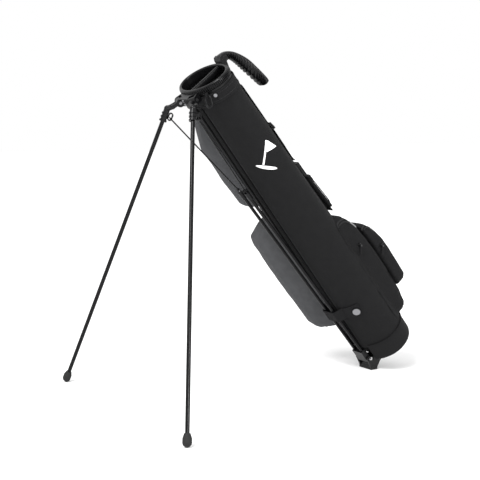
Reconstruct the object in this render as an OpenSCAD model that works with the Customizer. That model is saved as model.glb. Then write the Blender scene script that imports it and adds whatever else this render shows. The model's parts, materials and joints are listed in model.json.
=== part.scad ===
// Small golf stand bag on its two open legs. Millimetres, +Z up, the ground at z = 0.
// +X runs from the legs to the base of the bag, and Y is its width: the near side is -Y.
// Most parts are drawn on the upright bag, with z along its axis from the base and +x to its back,
// and on_bag() then leans them onto the legs.

/* [Bag] */
// Length of the bag along its axis, base to lip
bag_h = 766; // [640:1:880]
// Lean of the bag from the upright when it stands on its legs, degrees
lean = 38.8; // [35:0.1:42]
// Depth of the mouth, front to back
mouth_d = 92; // [84:1:104]
// Width of the mouth, side to side
mouth_w = 141; // [126:1:156]
// Depth of the tube where it meets the base
base_d = 126; // [116:1:136]
// Width of the tube where it meets the base
base_w = 146; // [134:1:160]
// How far the base is set back from the bag's axis
base_back = 7; // [4:0.5:10]
// Thickness of the padded fabric wall
wall = 2.4; // [1.6:0.1:3.2]

/* [Collar] */
// Height of the moulded collar
collar_h = 18; // [14:1:24]
// Thickness of the collar's wall
collar_t = 5.5; // [4:0.5:7]
// Height of the fabric cuff below the collar
cuff_h = 24; // [16:1:32]
// Width of the divider bar across the mouth
bar_w = 8; // [6:0.5:12]

/* [Base] */
// Height of the moulded base boot
boot_h = 50; // [42:1:64]
// Thickness of the boot's wall
boot_t = 3; // [2.4:0.1:4]
// Radius of the boot's lower edge
boot_r = 8; // [5:0.5:11]

/* [Legs] */
// Swing of a leg from folded along the bag to open, degrees
leg_open = 54.8; // [50:0.1:60]
// Turn of each leg's hinge pin away from straight across the bag, degrees
leg_turn = 24.1; // [18:0.1:30]
// Diameter of the leg tube
leg_d = 8.4; // [7.6:0.1:10]
// Distance of the hinge pin below the lip
hinge_drop = 14; // [12:0.5:18]
// Distance of the hinge pin in front of the bag's axis
hinge_out = 60; // [58:0.5:64]
// Distance of the hinge pin to each side of the bag's middle
hinge_side = 26; // [25:0.5:30]
// Diameter of the hinge pin
pin_d = 6; // [5:0.1:6.6]
// Clearance between a pin and its bore, on the radius
fit = 0.05; // [0.02:0.01:0.09]
// Radius of the rounded rubber foot
foot_r = 8.7; // [7.6:0.1:10]

/* [Push rods] */
// Diameter of the lower push rods
rod_d = 7; // [6:0.1:8]
// Diameter of the upper push wires
wire_d = 2.9; // [2.4:0.1:3.4]
// Half the spacing of the two push rods
rod_side = 12; // [11:0.5:14]
// Travel of the push rods as the legs fold
rod_travel = 21.3; // [18:0.1:26]

/* [Handle and strap] */
// Width of the carry handle, side to side
handle_w = 24; // [18:1:30]
// Width of the shoulder webbing
web_w = 30; // [24:1:36]
// Width of the shoulder pad
pad_w = 46; // [40:1:54]

/* [Pockets] */
// Width of the ball pocket
ball_w = 112; // [98:1:124]
// Depth of the ball pocket's inner layer, from the bag's axis
ball_in = 92; // [86:1:98]
// Depth of the ball pocket's outer layer, from the bag's axis
ball_out = 124; // [116:1:132]
// Reach of the far side's lower pocket, from the bag's middle
side_out = 128; // [118:1:138]

/* [Hidden] */
$fn = 48;

near = -1;
far = 1;
gap = 0.3;                                  // air between neighbours that only rest together
base_x = 315.3;                             // the base's middle on the ground plan
base_z = 53.5;                              // and its height above the ground
tube_top = bag_h - collar_h;
oval_n = 64;

// a point of the upright bag, in the leaning frame
function wx(x, z) = base_x + x * cos(lean) - z * sin(lean);
function wz(x, z) = base_z + x * sin(lean) + z * cos(lean);
function mix(a, b, t) = a + (b - a) * t;
// the tube's half depth, half width and middle at a height
function up(z) = (z - boot_h) / (tube_top - boot_h);
function half_d(z) = mix(base_d, mouth_d, up(z)) / 2;
function half_w(z) = mix(base_w, mouth_w, up(z)) / 2;
function mid_x(z) = mix(base_back, 0, up(z));
function oval(a, b) = [for (i = [0 : oval_n - 1]) [a * cos(360 * i / oval_n), b * sin(360 * i / oval_n)]];
// where the tube's wall is at a height, for a given x or y
function side_y(x, z) = half_w(z) * sqrt(max(0, 1 - pow((x - mid_x(z)) / half_d(z), 2)));
function back_x(y, z) = mid_x(z) + half_d(z) * sqrt(max(0, 1 - pow(y / half_w(z), 2)));
function front_x(y, z) = mid_x(z) - half_d(z) * sqrt(max(0, 1 - pow(y / half_w(z), 2)));

// a smooth line through a few points, n steps between each two
function curve_at(p, i, t) =
    let (a = p[max(i - 1, 0)], b = p[i], c = p[i + 1], d = p[min(i + 2, len(p) - 1)])
    0.5 * (2 * b + (c - a) * t + (2 * a - 5 * b + 4 * c - d) * t * t
        + (3 * b - a - 3 * c + d) * t * t * t);
function curve(p, n) = concat(
    [for (i = [0 : len(p) - 2]) for (k = [0 : n - 1]) curve_at(p, i, k / n)], [p[len(p) - 1]]);
// a line's points moved sideways by d
function beside(p, d) = [for (i = [0 : len(p) - 1])
    let (v = p[min(i + 1, len(p) - 1)] - p[max(i - 1, 0)]) p[i] + d * [-v[1], v[0]] / norm(v)];
function backwards(p) = [for (i = [len(p) - 1 : -1 : 0]) p[i]];

module on_bag() {
    translate([base_x, 0, base_z]) rotate([0, -lean, 0]) children();
}
module on_side(side) {
    if (side == far) mirror([0, 1, 0]) children();
    else children();
}
// a round bar from p to q
module bar(p, q, d) {
    v = q - p;
    translate(p) rotate([0, acos(v[2] / norm(v)), atan2(v[1], v[0])]) cylinder(h = norm(v), d = d);
}
// a cylinder across the bag
module across(d, y0, y1) {
    translate([0, y0, 0]) rotate([-90, 0, 0]) cylinder(h = y1 - y0, d = d);
}
module oval_slab(a, b, x, z, h) {
    translate([x, 0, z]) linear_extrude(h) polygon(oval(a, b));
}
// the solid oval volume of the tube, grown or shrunk by extra, between two heights
module tube_solid(extra, z0, z1) {
    thin = 0.01;
    hull() {
        oval_slab(half_d(z0) + extra, half_w(z0) + extra, mid_x(z0), z0, thin);
        oval_slab(half_d(z1) + extra, half_w(z1) + extra, mid_x(z1), z1 - thin, thin);
    }
}
module tube_shell() {
    difference() {
        tube_solid(0, boot_h, tube_top);
        tube_solid(-wall, boot_h - 1, tube_top + 1);
    }
}
// a box with rounded edges, from corner a to corner b
module soft_box(a, b, r) {
    hull() for (x = [a[0] + r, b[0] - r], y = [a[1] + r, b[1] - r], z = [a[2] + r, b[2] - r])
        translate([x, y, z]) sphere(r, $fn = 24);
}

// ---- collar and mouth ----

lip_a = mouth_d / 2;
lip_b = mouth_w / 2;

module collar() color([0.07, 0.07, 0.075]) on_bag() {
    lip_h = 5;
    difference() {
        union() {
            oval_slab(lip_a, lip_b, 0, tube_top, collar_h - lip_h);
            oval_slab(lip_a + 0.8, lip_b + 0.8, 0, bag_h - lip_h, lip_h);
        }
        oval_slab(lip_a - collar_t, lip_b - collar_t, 0, tube_top - 1, collar_h + 2);
    }
}

bar_top = bag_h - 3;
bar_h = 16;
module divider_bar() color([0.08, 0.08, 0.085]) on_bag() {
    reach = lip_a - collar_t - gap;
    translate([-reach, -bar_w / 2, bar_top - bar_h]) cube([2 * reach, bar_w, bar_h]);
}

module divider_panel() color([0.1, 0.1, 0.11]) on_bag() {
    sheet_t = 1.6;
    z0 = recess_h + boot_t + 1;
    z1 = bar_top - bar_h - gap;
    low = lip_a - collar_t - gap;
    translate([-low, -sheet_t / 2, z0]) cube([2 * low, sheet_t, z1 - z0]);
}

// ---- the fabric tube, in four sewn panels ----

belly_half = 10;
spine_half = 30;
big = 2000;
module belly_zone() translate([-big, -belly_half, 0]) cube([big, 2 * belly_half, big]);
module spine_zone() translate([0, -spine_half, 0]) cube([big, 2 * spine_half, big]);

module side_panel(side) color([0.06, 0.06, 0.065]) on_bag() on_side(side) difference() {
    intersection() {
        tube_shell();
        translate([-big, -big, 0]) cube([2 * big, big, big]);
    }
    belly_zone();
    spine_zone();
}
module belly_panel() color([0.07, 0.07, 0.075]) on_bag() intersection() {
    tube_shell();
    belly_zone();
}
module spine_panel() color([0.07, 0.07, 0.075]) on_bag() intersection() {
    tube_shell();
    spine_zone();
}

cuff_t = 1.8;
module cuff_band() color([0.09, 0.09, 0.095]) on_bag() {
    z0 = tube_top - cuff_h;
    difference() {
        oval_slab(half_d(z0) + gap + cuff_t, half_w(z0) + gap + cuff_t, mid_x(z0), z0, cuff_h);
        oval_slab(half_d(z0) + gap, half_w(z0) + gap, mid_x(z0), z0 - 1, cuff_h + 2);
    }
}

// flat stays that hold the collar off the base, inside the two side panels
module stay(side) color([0.25, 0.25, 0.26]) on_bag() on_side(side) {
    stay_w = 12;
    stay_t = 2.5;
    z0 = boot_h;
    z1 = tube_top - 2;
    hull() for (z = [z0, z1])
        translate([mid_x(z) - stay_w / 2, -half_w(z) + wall + 1.2, z]) cube([stay_w, stay_t, 1]);
}

// ---- base boot, with a recess at the front for the foot lever ----

recess_half = 30;
recess_h = 44;
recess_x = -34;
module boot_outer() {
    a = base_d / 2;
    b = base_w / 2;
    hull() {
        oval_slab(a - boot_r * 0.7, b - boot_r * 0.7, base_back, 0, 1);
        oval_slab(a - boot_r * 0.2, b - boot_r * 0.2, base_back, boot_r * 0.45, 1);
        oval_slab(a, b, base_back, boot_r, boot_h - boot_r);
    }
}
module recess(grow) translate([-big, -recess_half - grow, -big])
    cube([big + recess_x + grow, 2 * (recess_half + grow), big + recess_h + grow]);
module base_boot() color([0.08, 0.08, 0.085]) on_bag() difference() {
    boot_outer();
    difference() {
        oval_slab(base_d / 2 - boot_t - boot_r * 0.4, base_w / 2 - boot_t - boot_r * 0.4,
            base_back, boot_t, boot_h);
        recess(boot_t);
    }
    recess(0);
}

// ---- foot lever: hinged under the boot, worked by the ground ----

lever_x = -38;                              // the lever's hinge on the upright bag
lever_z = -7;
rod_low_x = -59;                            // where the push rods end
rod_low_z = 12;
rod_top_x = -71;                            // where the push rods start
rod_top_z = bag_h - 246;
lever_pin_d = 4;
lever_in = 16.5;                            // inside faces of the lever's cheeks
lever_t = 4;
lever_half = 21;
lug_t = 4;
lug_in = 11.5;

module foot_bracket() color([0.1, 0.1, 0.105]) on_bag() {
    plate_t = 2.5;
    front = lever_x - 5;
    difference() {
        union() {
            translate([front, -15, -plate_t]) cube([34, 30, plate_t]);
            for (y = [-lug_in - lug_t, lug_in]) {
                translate([lever_x, y, lever_z]) across(2 * 5, 0, lug_t);
                translate([lever_x - 5, y, lever_z]) cube([10, lug_t, -lever_z - 1]);
            }
        }
        translate([lever_x, 0, lever_z]) across(lever_pin_d + 2 * fit, -20, 20);
    }
}

module foot_pin() color("silver") on_bag()
    translate([lever_x, 0, lever_z]) across(lever_pin_d, -lever_in - lever_t - 1, lever_in + lever_t + 1);

hx = wx(lever_x, lever_z);
hz = wz(lever_x, lever_z);
rx = wx(rod_low_x, rod_low_z);
rz = wz(rod_low_x, rod_low_z);
sole_t = 3;
sole_x = rx + 5;
sole_len = hx - rx - 10;
rod_pin_d = 4;
module lever_cheek() {
    cheek_r = 6.2;
    slot_w = rod_pin_d + 3.4;
    slot_in = rod_travel / 2 + 0.5;
    tip = 4;
    arm = norm([rx - hx, rz - hz]);
    turn = atan2(rz - hz, rx - hx);
    difference() {
        union() {
            translate([hx, hz]) circle(cheek_r);
            translate([rx, rz]) circle(cheek_r);
            polygon([[sole_x + 1, sole_t], [sole_x + sole_len - 1, sole_t], [hx + cheek_r, hz],
                [hx, hz + cheek_r], [rx, rz + cheek_r], [rx - cheek_r, rz]]);
        }
        translate([hx, hz]) circle(d = lever_pin_d + 2 * fit);
        translate([hx, hz]) rotate(turn) translate([arm - slot_in, -slot_w / 2])
            square([slot_in + tip, slot_w]);
    }
}
module foot_lever() color([0.09, 0.09, 0.095]) {
    for (y = [-lever_in - lever_t, lever_in])
        translate([0, y + lever_t, 0]) rotate([90, 0, 0]) linear_extrude(lever_t) lever_cheek();
    translate([sole_x, -lever_half, sole_t]) cube([sole_len, 2 * lever_half, 4]);
    translate([sole_x + 1, -lever_in - 1, sole_t]) cube([sole_len - 2, 2 * lever_in + 2, 10.5]);
}
module foot_sole() color([0.05, 0.05, 0.05]) {
    grooves = 3;
    difference() {
        translate([sole_x, -lever_half, 0]) cube([sole_len, 2 * lever_half, sole_t]);
        for (k = [1 : grooves]) translate([sole_x + sole_len * k / (grooves + 1) - 1, -big, -1])
            cube([2, 2 * big, 1 + sole_t / 3]);
    }
}

// ---- push rods: the block at their lower end slides, and the wires above are hinged ----

function rod_x(z) = mix(rod_low_x, rod_top_x, (z - rod_low_z) / (rod_top_z - rod_low_z));
block_top = rod_low_z + 26;
rod_turn = atan2(rod_top_x - rod_low_x, rod_top_z - rod_low_z);

module along_rods() translate([rod_low_x, 0, rod_low_z]) rotate([0, rod_turn, 0]) children();
rod_len = norm([rod_top_x - rod_low_x, rod_top_z - rod_low_z]);
block_h = 26;
rod_seat = 8;
module rod_block() color([0.09, 0.09, 0.095]) on_bag() along_rods() difference() {
    translate([-6, -rod_side + -4.2, -6]) cube([12.5, 2 * rod_side + 8.4, 6 + block_h]);
    for (side = [near, far])
        translate([0, side * rod_side, rod_seat]) cylinder(h = block_h, d = rod_d + 2 * fit);
    across(rod_pin_d + 2 * fit, -big, big);
}
module rod_block_pin() color("silver") on_bag() along_rods()
    across(rod_pin_d, -lever_in - lever_t - 1.5, lever_in + lever_t + 1.5);

module push_rod(side) color([0.12, 0.12, 0.125]) on_bag() along_rods()
    translate([0, side * rod_side, rod_seat + fit]) cylinder(h = rod_len - rod_seat, d = rod_d);

fork_gap = wire_d + 2.2;
fork_t = 1.8;
pivot_up = 9;                               // the wire's pivot above the top of the rod
wire_pin_d = 2;
ferrule_down = 14;
module ferrule(side) color([0.1, 0.1, 0.105]) on_bag() along_rods() on_side(side)
    translate([0, -rod_side, rod_len]) {
        difference() {
            translate([0, 0, -ferrule_down]) cylinder(h = ferrule_down + 4, d = rod_d + 3);
            translate([0, 0, -ferrule_down - 1]) cylinder(h = ferrule_down + 1.1, d = rod_d + 2 * fit);
        }
        rotate([0, 0, leg_turn]) difference() {
            for (y = [-fork_gap / 2 - fork_t, fork_gap / 2])
                translate([-3, y, 3]) cube([6, fork_t, pivot_up]);
            translate([0, 0, pivot_up]) across(wire_pin_d + 2 * fit, -10, 10);
        }
    }
module wire_pins() color("silver") on_bag() along_rods() for (side = [near, far]) on_side(side)
    translate([0, -rod_side, rod_len + pivot_up]) rotate([0, 0, leg_turn])
        across(wire_pin_d, -fork_gap / 2 - fork_t - 0.4, fork_gap / 2 + fork_t + 0.4);

// ---- leg hinge: everything in a leg's own frame swings about its y axis ----

hinge = [-hinge_out, -hinge_side, bag_h - hinge_drop];
module at_hinge(side) on_bag() on_side(side) translate(hinge) rotate([0, 0, leg_turn]) children();
// a point of the near half of the upright bag, in the near leg's frame
function to_leg(p) = let (d = p - hinge)
    [d[0] * cos(leg_turn) + d[1] * sin(leg_turn), -d[0] * sin(leg_turn) + d[1] * cos(leg_turn), d[2]];

leg_gap = 15;                               // the folded leg's distance in front of the hinge pin
leg_aside = 15;                             // and its distance to the outside
hip = 50.6;                                 // the socket's mouth, along the leg
socket_len = 27;
// a point of the leg: t along it, out away from it on the bag's side
function leg_pt(t, out = 0) = [
    -cos(leg_open) * (leg_gap - out) - sin(leg_open) * t,
    -leg_aside,
    sin(leg_open) * (leg_gap - out) - cos(leg_open) * t];
// height of a leg point above the ground
function leg_height(t) = let (p = leg_pt(t))
    wz(hinge[0] + p[0] * cos(leg_turn) - p[1] * sin(leg_turn), hinge[2] + p[2]);
leg_end = (leg_height(0) - foot_r) / (leg_height(0) - leg_height(1));

barrel_r = 8;
barrel_half = 8;
arm_d = 11.5;
socket_d = 12.5;
ring_d = 15.6;
ear_t = 4;
ear_off = 12.6;                             // the ear's distance from the leg, towards the bag
ear_at = 38.5;                              // and its place along the leg
ear_y = -leg_aside - 4.5;
slot_half = 3.4;                            // travel that the wire's tip has in the ear's slot
slot_d = wire_d + 2.4;
module leg_line() {
    p = leg_pt(0);
    translate(p) rotate([0, 180 + leg_open, 0]) children();
}
module slot_outline(d) {
    for (x = [-slot_half, slot_half]) translate([x, 0]) circle(d = d);
    translate([-slot_half, -d / 2]) square([2 * slot_half, d]);
}
module ear_outline() {
    slot_outline(slot_d + 5);
    translate([-slot_half, 0]) square([2 * slot_half, ear_off - 1]);
}
module knuckle(side) color([0.08, 0.08, 0.085]) at_hinge(side) {
    bend = [-17, -2, 0];
    top = leg_pt(hip - socket_len);
    ear = leg_pt(ear_at, ear_off);
    difference() {
        union() {
            across(2 * barrel_r, -barrel_half, barrel_half);
            bar([0, 0, 0], bend, arm_d);
            translate(bend) sphere(d = arm_d + 0.8);
            bar(bend, top, arm_d);
            translate(top) sphere(d = socket_d + 1);
            leg_line() {
                translate([0, 0, hip - socket_len]) cylinder(h = socket_len, d = socket_d);
                for (k = [0 : 2]) translate([0, 0, hip - 3 - 7.5 * k]) cylinder(h = 3, d = ring_d);
            }
            translate([ear[0], ear_y + ear_t / 2, ear[2]]) rotate([90, leg_open - 90, 0])
                linear_extrude(ear_t) ear_outline();
        }
        across(pin_d + 2 * fit, -big, big);
        leg_line() translate([0, 0, hip - socket_len + 5]) cylinder(h = socket_len, d = leg_d + 2 * fit);
        translate([ear[0], ear_y + ear_t, ear[2]]) rotate([90, leg_open - 90, 0])
            linear_extrude(2 * ear_t) slot_outline(slot_d);
    }
}
module leg_tube(side) color([0.06, 0.06, 0.06]) at_hinge(side) leg_line()
    translate([0, 0, hip - socket_len + 5 + gap]) cylinder(h = leg_end - hip + socket_len - 5 - gap, d = leg_d);
module leg_foot(side) color([0.05, 0.05, 0.05]) at_hinge(side) leg_line() {
    foot_up = 16;
    sock = 14;
    difference() {
        union() {
            translate([0, 0, leg_end]) sphere(foot_r);
            translate([0, 0, leg_end - foot_up * 0.45]) cylinder(h = foot_up * 0.45, r = foot_r);
            translate([0, 0, leg_end - foot_up]) cylinder(h = foot_up * 0.55, r1 = foot_r * 0.66, r2 = foot_r);
        }
        translate([0, 0, leg_end - foot_up - 1]) cylinder(h = foot_up + 1, d = leg_d);
    }
}

wire_y = ear_y + ear_t / 2 + 0.8 + wire_d / 2;
module push_wire(side) color([0.12, 0.12, 0.125]) at_hinge(side) {
    eye_r = 3.1;
    low = to_leg([rod_x(rod_top_z + pivot_up), -rod_side, rod_top_z + pivot_up]);
    // open, the wire's tip stands at one end of the ear's slot
    tip = leg_pt(ear_at + 2.5, ear_off + 0.4);
    high = [tip[0], wire_y, tip[2]];
    step = 2;
    dir = (high - low) / norm(high - low);
    difference() {
        union() {
            translate(low) across(2 * eye_r, -wire_d / 2, wire_d / 2);
            bar(low + dir * step, high, wire_d);
            translate(high) sphere(d = wire_d + 0.3);
            bar(high, [tip[0], ear_y - ear_t / 2 - 2, tip[2]], wire_d);
        }
        translate(low) across(wire_pin_d + 2 * fit, -wire_d, wire_d);
    }
}

// ---- bracket that carries both leg hinges, under the front of the collar ----

cheek_in = barrel_half + 0.25;
cheek_t = 3.4;
cheek_r = 8.5;
module leg_bracket() color([0.08, 0.08, 0.085]) difference() {
    union() {
        for (side = [near, far]) at_hinge(side) {
            for (y = [-cheek_in - cheek_t, cheek_in]) {
                translate([0, y, 0]) across(2 * cheek_r, 0, cheek_t);
                translate([0, y, -cheek_r]) cube([26, cheek_t, 2 * cheek_r]);
            }
            translate([barrel_r + 1.2, -cheek_in - 0.5, -cheek_r]) cube([14, 2 * cheek_in + 1, 2 * cheek_r]);
        }
        on_bag() translate([-hinge_out - 4, -14, hinge[2] - cheek_r]) cube([26, 28, 2 * cheek_r]);
    }
    for (side = [near, far]) at_hinge(side) {
        across(pin_d + 2 * fit, -big, big);
        translate([0, -cheek_in, 0]) rotate([-90, 0, 0]) cylinder(h = 2 * cheek_in, r = barrel_r + 1);
        translate([-30, -cheek_in, -20]) cube([30, 2 * cheek_in, 40]);
    }
    on_bag() oval_slab(lip_a + 2.6, lip_b + 2.6, 0, tube_top - 100, 200);
    on_bag() for (z = screw_z) translate([-hinge_out - 5, 0, z]) rotate([0, 90, 0])
        cylinder(h = 30, d = screw_d + 2 * fit);
}
screw_d = 4;
screw_z = [hinge[2] - 4, hinge[2] + 4];
module bracket_screws() color("silver") on_bag() for (z = screw_z)
    translate([-hinge_out - 4 - 2, 0, z]) rotate([0, 90, 0]) {
        cylinder(h = 2, d = 7);
        cylinder(h = 12, d = screw_d);
    }
module leg_pins() color("silver") for (side = [near, far]) at_hinge(side)
    across(pin_d, -cheek_in - cheek_t - 0.8, cheek_in + cheek_t + 0.8);

// ---- small fittings ----

strap_z = 155;
strap_h = 28;
strap_t = 1.6;
strap_back = 122;                           // where the strap leaves the near side, round the tube
strap_front = 157;
strap_end = 148;                            // and where it ends on the far side
// the strap leaves the near side, passes in front of the rods and ends on the far side
module guide_strap() color([0.1, 0.1, 0.105]) on_bag() {
    z0 = strap_z - strap_h / 2;
    out = gap + 0.4 + strap_t / 2;
    rod_front = rod_x(z0 + strap_h) - rod_d / 2 - 0.6 - strap_t / 2;
    corner = rod_side + rod_d / 2 + 3;
    steps = 8;
    near_wrap = [for (k = [0 : steps]) wrap_point(mix(strap_back, strap_front, k / steps), z0, out, near)];
    far_wrap = [for (k = [0 : 2]) wrap_point(mix(strap_front, strap_end, k / 2), z0, out, far)];
    line = concat(near_wrap, [[rod_front + 1, -corner], [rod_front, -rod_side], [rod_front, rod_side],
        [rod_front + 1, corner]], far_wrap);
    translate([0, 0, z0]) linear_extrude(strap_h)
        polygon(concat(beside(line, strap_t / 2), backwards(beside(line, -strap_t / 2))));
}
function wrap_point(a, z, out, side) =
    [mid_x(z) + (half_d(z) + out) * cos(a), side * (half_w(z) + out) * sin(a)];
snap_d = 17;
// a disc on the near side of the tube, facing out, at x and z
module near_disc(x, z, lift, d, h) {
    y = -side_y(x, z);
    slope = atan2((x - mid_x(z)) / pow(half_d(z), 2), -y / pow(half_w(z), 2));
    translate([x, y, z]) rotate([0, 0, slope]) rotate([90, 0, 0]) translate([0, 0, lift]) cylinder(h = h, d = d);
}
module snap_button() color("silver") on_bag() {
    near_disc(-34, strap_z - 2, gap + strap_t + 1.4, snap_d, 3);
}
module cuff_rivet() color("silver") on_bag() near_disc(-26, tube_top - 6, gap + cuff_t + 1.0, 7.4, 2.2);

ring_x = -34;
ring_z = tube_top;
ring_wire = 3.6;
ring_w = 13;
ring_l = 22;
module ring_place() {
    y = -side_y(ring_x, ring_z);
    slope = atan2((ring_x - mid_x(ring_z)) / pow(half_d(ring_z), 2), -y / pow(half_w(ring_z), 2));
    translate([ring_x, y, ring_z]) rotate([0, 0, slope]) translate([0, -cuff_t - 5, 0]) children();
}
ring_out = 36;                              // the ring hangs away from the leaning bag, degrees
module towel_ring() color([0.09, 0.09, 0.095]) on_bag() ring_place() rotate([-ring_out, 0, 0]) {
    r = ring_w / 2;
    run = ring_l - ring_w;
    for (s = [0, 1]) translate([0, 0, -r - s * run]) rotate([90, 180 * s, 0])
        rotate_extrude(angle = 180) translate([r, 0]) circle(d = ring_wire, $fn = 24);
    for (x = [-r, r]) translate([x, 0, -r - run]) cylinder(h = run, d = ring_wire, $fn = 24);
}
module ring_tab() color([0.08, 0.08, 0.085]) on_bag() ring_place() {
    // a short loop of webbing round the ring's top bar
    tab_w = 5;
    loop_r = ring_wire / 2 + 0.9;
    rotate([0, 90, 0]) translate([0, 0, -tab_w / 2]) difference() {
        union() {
            cylinder(h = tab_w, r = loop_r + 1);
            translate([-2.4 - loop_r, -0.2, 0]) cube([2.2, 4.6, tab_w]);
            translate([-2.4 - loop_r, -0.2, 0]) cube([2.4 + loop_r, 1.2, tab_w]);
        }
        translate([0, 0, -1]) cylinder(h = tab_w + 2, r = loop_r);
    }
}

// ---- carry handle: a hooked grip at the back of the collar, open at its lower end ----

module handle_outline() {
    outer = [[0, -14], [0, 5], [3, 11], [14, 12], [28, 8], [43, -6], [58, -32], [66, -60], [72, -90], [71, -99]];
    inner = [[9, -16], [8, -9], [14, -7], [24, -9], [31, -22], [38, -50], [50, -92], [58, -101]];
    polygon(concat(curve(outer, 5), backwards(curve(inner, 5))));
}
module carry_handle() color([0.08, 0.08, 0.085]) on_bag() difference() {
    translate([lip_a + 0.8 + gap, handle_w / 2, bag_h - 1]) rotate([90, 0, 0]) linear_extrude(handle_w) handle_outline();
    for (z = handle_screw_z) translate([lip_a, 0, z]) rotate([0, 90, 0])
        cylinder(h = 30, d = screw_d + 2 * fit);
}
handle_screw_z = [bag_h - 6, bag_h - 13];
module handle_screws() color("silver") on_bag() for (z = handle_screw_z)
    translate([lip_a + 0.8 + gap + 1, 0, z]) rotate([0, 90, 0]) cylinder(h = 6.5, d = screw_d);

// ---- shoulder strap, lying along the back ----

module strap_run(z0, z1, off, w, t) {
    lift = off + gap;
    hull() for (z = [z0, z1])
        translate([back_x(w / 2 * 0.3, z) + lift, -w / 2, z]) cube([t, w, 0.5]);
}
module strap_anchor() color([0.09, 0.09, 0.095]) on_bag() {
    z = tube_top - cuff_h - 16;
    translate([back_x(0, z) + gap + 1.8, -16, z - 8]) cube([4, 32, 16]);
}
module upper_webbing() color([0.08, 0.08, 0.085]) on_bag() strap_run(bag_h - 270, tube_top - cuff_h - 26, 4, web_w, 2.2);
module strap_adjuster() color([0.09, 0.09, 0.095]) on_bag() strap_run(bag_h - 308, bag_h - 274, 3.2, web_w + 10, 7);
module shoulder_pad() color([0.08, 0.08, 0.085]) on_bag() strap_run(bag_h - 406, bag_h - 314, 3, pad_w, 10);
module lower_webbing() color([0.08, 0.08, 0.085]) on_bag() strap_run(ball_z1 + 1, bag_h - 409, 4, web_w, 2.2);

// ---- ball pocket on the back: an inner bag with a smaller one on it ----

ball_z0 = 56;
ball_z1 = 346;
module ball_pocket() color([0.07, 0.07, 0.075]) on_bag() difference() {
    hull() {
        soft_box([10, -ball_w / 2, ball_z0], [ball_in, ball_w / 2, ball_z1 - 70], 14);
        soft_box([10, -ball_w / 2 + 4, ball_z1 - 90], [ball_in - 22, ball_w / 2 - 4, ball_z1], 12);
    }
    tube_solid(gap, boot_h - 1, tube_top);
}
outer_z0 = 108;
outer_z1 = 306;
module outer_pocket() color([0.07, 0.07, 0.075]) on_bag() {
    half = ball_w / 2 - 5;
    x0 = ball_in + gap;
    hull() {
        soft_box([x0, -half, outer_z0], [ball_out, half, outer_z1 - 70], 11);
        soft_box([x0, -half + 4, outer_z1 - 80], [ball_out - 14, half - 4, outer_z1 - 16], 7);
    }
}

// zip sliders run on the pockets' near sides, and each carries a pull that swings on a stud
stud_d = 2.4;
module zip_slider() {
    translate([-3, -3, -4.5]) cube([6, 3, 9]);
    across(stud_d, -5.6, -2.5);
    across(stud_d + 2, -6.2, -5.4);
}
module zip_pull() rotate([0, lean, 0]) difference() {
    union() {
        across(6, -5.1, -3.3);
        translate([-2.3, -5.1, -20]) cube([4.6, 1.8, 19]);
    }
    across(stud_d + 2 * fit, -8, 0);
}
module at_main_zip() on_bag() translate([60, -ball_w / 2 - gap - 0.6, 262]) children();
module at_outer_zip() on_bag() translate([(ball_in + ball_out) / 2, -ball_w / 2 + 5 - gap - 0.6, 216]) children();
module at_side_zip() on_bag() translate([-20, side_out + gap + 0.6, 330]) rotate([0, 0, 180]) children();
module main_zip_slider() color("silver") at_main_zip() zip_slider();
module main_zip_pull() color("gray") at_main_zip() zip_pull();
module outer_zip_slider() color("silver") at_outer_zip() zip_slider();
module outer_zip_pull() color("gray") at_outer_zip() zip_pull();
module side_zip_slider() color("silver") at_side_zip() zip_slider();
module side_zip_pull() color("gray") at_side_zip() mirror([1, 0, 0]) zip_pull();

// ---- far side: a long garment pocket, and a shallow one above it ----

module side_pocket() color([0.2, 0.2, 0.21]) on_bag() difference() {
    hull() {
        soft_box([-75.7, side_out - 45.3, 97], [29, side_out, 381], 13.5);
        soft_box([-27, 36, 87], [32, side_out - 36.5, 405], 12.5);
    }
    tube_solid(gap, boot_h - 1, tube_top);
}
module top_pocket() color([0.2, 0.2, 0.21]) on_bag() difference() {
    hull() {
        soft_box([-56, 72, 462], [10, 98, 640], 9);
        soft_box([-40, 49, 450], [14, 74, 694], 9);
    }
    tube_solid(gap, boot_h - 1, tube_top);
}

collar();
divider_bar();
divider_panel();
side_panel(near);  // near_panel
side_panel(far);  // far_panel
belly_panel();
spine_panel();
cuff_band();
stay(near);  // near_stay
stay(far);  // far_stay
base_boot();
foot_bracket();
foot_pin();
foot_lever();
foot_sole();
rod_block();
rod_block_pin();
push_rod(near);  // near_push_rod
push_rod(far);  // far_push_rod
ferrule(near);  // near_ferrule
ferrule(far);  // far_ferrule
wire_pins();
push_wire(near);  // near_push_wire
push_wire(far);  // far_push_wire
leg_bracket();
bracket_screws();
leg_pins();
knuckle(near);  // near_knuckle
knuckle(far);  // far_knuckle
leg_tube(near);  // near_leg_tube
leg_tube(far);  // far_leg_tube
leg_foot(near);  // near_leg_foot
leg_foot(far);  // far_leg_foot
guide_strap();
snap_button();
cuff_rivet();
ring_tab();
towel_ring();
carry_handle();
handle_screws();
strap_anchor();
upper_webbing();
strap_adjuster();
shoulder_pad();
lower_webbing();
ball_pocket();
outer_pocket();
main_zip_slider();
main_zip_pull();
outer_zip_slider();
outer_zip_pull();
side_pocket();
top_pocket();
side_zip_slider();
side_zip_pull();
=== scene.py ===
import json
from math import radians, sin, cos, pi, sqrt, asin, atan2
import bpy
import bmesh
from mathutils import Vector, Matrix, noise


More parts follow.
